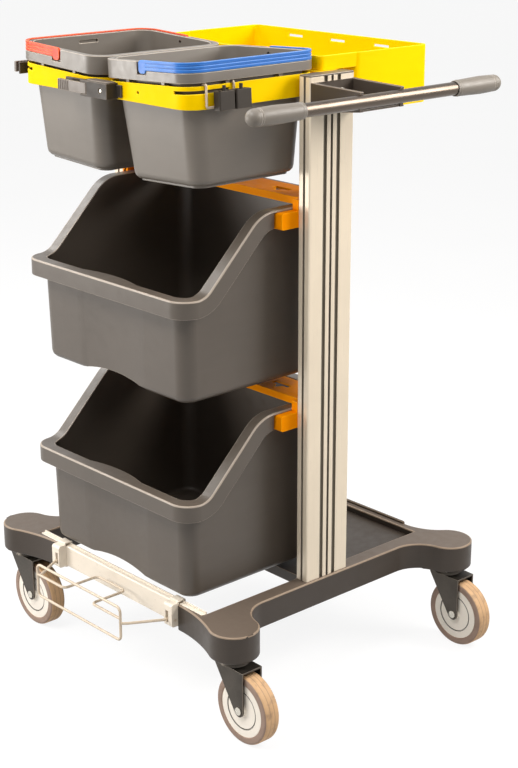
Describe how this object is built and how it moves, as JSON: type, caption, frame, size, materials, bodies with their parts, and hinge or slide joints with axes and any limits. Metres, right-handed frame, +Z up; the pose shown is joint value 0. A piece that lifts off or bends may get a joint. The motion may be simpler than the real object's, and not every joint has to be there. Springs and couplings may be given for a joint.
{
  "type": "janitor cart",
  "caption": "Wheeled cleaning cart with slanted pull-out bins between two posts, lift-out pails with swing handles, a rear tray, a push handle and a tip-up wire rack.",
  "frame": {"origin": "middle of the bounding box on the floor", "axes": "+Z up, -Y towards the open front of the bins, +X towards the push handle"},
  "size_m": [0.7505, 0.6859, 1.1279],
  "materials": {
    "grey_plastic": "satin",
    "dark_plastic": "satin",
    "yellow_plastic": "satin",
    "orange_plastic": "satin",
    "red_plastic": "gloss",
    "blue_plastic": "gloss",
    "cream_metal": "satin",
    "post_metal": "satin",
    "steel": "satin",
    "tube_metal": "gloss",
    "grip_rubber": "matte",
    "hub_plastic": "satin",
    "tread_rubber": "matte"
  },
  "bodies": {
    "base": {"base_frame": "grey_plastic", "rear_deck": "grey_plastic", "cross_bar": "cream_metal", "wire_clamps": "cream_metal", "swivel_races": "steel", "post_left": "post_metal", "post_right": "post_metal", "post_cap_left": "grey_plastic", "post_cap_right": "grey_plastic", "carrier_lower": "orange_plastic", "carrier_upper": "orange_plastic", "pail_holder": "yellow_plastic", "rear_tray": "yellow_plastic", "handle_bracket": "dark_plastic", "bracket_screws": "steel", "handle_tube": "tube_metal", "grip_front": "grip_rubber", "grip_rear": "grip_rubber", "broom_clip_front": "dark_plastic", "broom_clip_side": "dark_plastic", "wire_hook": "cream_metal", "tool_clips": "dark_plastic"},
    "swivel_front_left": {"fork_front_left": "steel", "axle_front_left": "steel"},
    "wheel_front_left": {"hub_front_left": "hub_plastic", "tyre_front_left": "tread_rubber"},
    "swivel_front_right": {"fork_front_right": "steel", "axle_front_right": "steel"},
    "wheel_front_right": {"hub_front_right": "hub_plastic", "tyre_front_right": "tread_rubber"},
    "swivel_rear_left": {"fork_rear_left": "steel", "axle_rear_left": "steel"},
    "wheel_rear_left": {"hub_rear_left": "hub_plastic", "tyre_rear_left": "tread_rubber"},
    "swivel_rear_right": {"fork_rear_right": "steel", "axle_rear_right": "steel"},
    "wheel_rear_right": {"hub_rear_right": "hub_plastic", "tyre_rear_right": "tread_rubber"},
    "bin_lower": {"bin_lower": "grey_plastic"},
    "bin_upper": {"bin_upper": "grey_plastic"},
    "pail_left": {"pail_left": "grey_plastic"},
    "bail_left": {"bail_left": "red_plastic"},
    "pail_right": {"pail_right": "grey_plastic"},
    "bail_right": {"bail_right": "blue_plastic"},
    "rack": {"wire_rack": "cream_metal"},
    "lever_front": {"broom_lever_front": "dark_plastic"},
    "lever_side": {"broom_lever_side": "dark_plastic"}
  },
  "joints": [
    {"name": "swivel_front_left", "type": "hinge", "parent": "base", "child": "swivel_front_left", "pos_m": [-0.33125, -0.24, 0.14], "axis": [0, 0, 1], "continuous": true},
    {"name": "roll_front_left", "type": "hinge", "parent": "swivel_front_left", "child": "wheel_front_left", "pos_m": [-0.29625, -0.24, 0.0625], "axis": [0, 1, 0], "continuous": true},
    {"name": "swivel_front_right", "type": "hinge", "parent": "base", "child": "swivel_front_right", "pos_m": [0.27775, -0.24, 0.14], "axis": [0, 0, 1], "continuous": true},
    {"name": "roll_front_right", "type": "hinge", "parent": "swivel_front_right", "child": "wheel_front_right", "pos_m": [0.31275, -0.24, 0.0625], "axis": [0, 1, 0], "continuous": true},
    {"name": "swivel_rear_left", "type": "hinge", "parent": "base", "child": "swivel_rear_left", "pos_m": [-0.33125, 0.299, 0.14], "axis": [0, 0, 1], "continuous": true},
    {"name": "roll_rear_left", "type": "hinge", "parent": "swivel_rear_left", "child": "wheel_rear_left", "pos_m": [-0.29625, 0.299, 0.0625], "axis": [0, 1, 0], "continuous": true},
    {"name": "swivel_rear_right", "type": "hinge", "parent": "base", "child": "swivel_rear_right", "pos_m": [0.27775, 0.299, 0.14], "axis": [0, 0, 1], "continuous": true},
    {"name": "roll_rear_right", "type": "hinge", "parent": "swivel_rear_right", "child": "wheel_rear_right", "pos_m": [0.31275, 0.299, 0.0625], "axis": [0, 1, 0], "continuous": true},
    {"name": "bin_lower_slide", "type": "slide", "parent": "base", "child": "bin_lower", "axis": [0, 1, 0], "range_m": [-0.18, 0]},
    {"name": "bin_upper_slide", "type": "slide", "parent": "base", "child": "bin_upper", "axis": [0, 1, 0], "range_m": [-0.18, 0]},
    {"name": "pail_left_lift", "type": "slide", "parent": "base", "child": "pail_left", "axis": [0, 0, 1], "range_m": [0, 0.2]},
    {"name": "bail_left_swing", "type": "hinge", "parent": "pail_left", "child": "bail_left", "pos_m": [-0.14319, -0.1175, 1.11101], "axis": [0, 1, 0], "range_deg": [0, 95]},
    {"name": "pail_right_lift", "type": "slide", "parent": "base", "child": "pail_right", "axis": [0, 0, 1], "range_m": [0, 0.2]},
    {"name": "bail_right_swing", "type": "hinge", "parent": "pail_right", "child": "bail_right", "pos_m": [0.08969, -0.1175, 1.11101], "axis": [0, -1, 0], "range_deg": [0, 95]},
    {"name": "rack_tip", "type": "hinge", "parent": "base", "child": "rack", "pos_m": [-0.02675, -0.2625, 0.172], "axis": [-1, 0, 0], "range_deg": [0, 38]},
    {"name": "lever_front_open", "type": "hinge", "parent": "base", "child": "lever_front", "pos_m": [-0.03675, -0.2745, 1.068], "axis": [0, 0, 1], "range_deg": [0, 35]},
    {"name": "lever_side_open", "type": "hinge", "parent": "base", "child": "lever_side", "pos_m": [-0.27172, -0.1785, 1.07859], "axis": [-0.0436, 0, -0.999], "range_deg": [0, 35]}
  ]
}
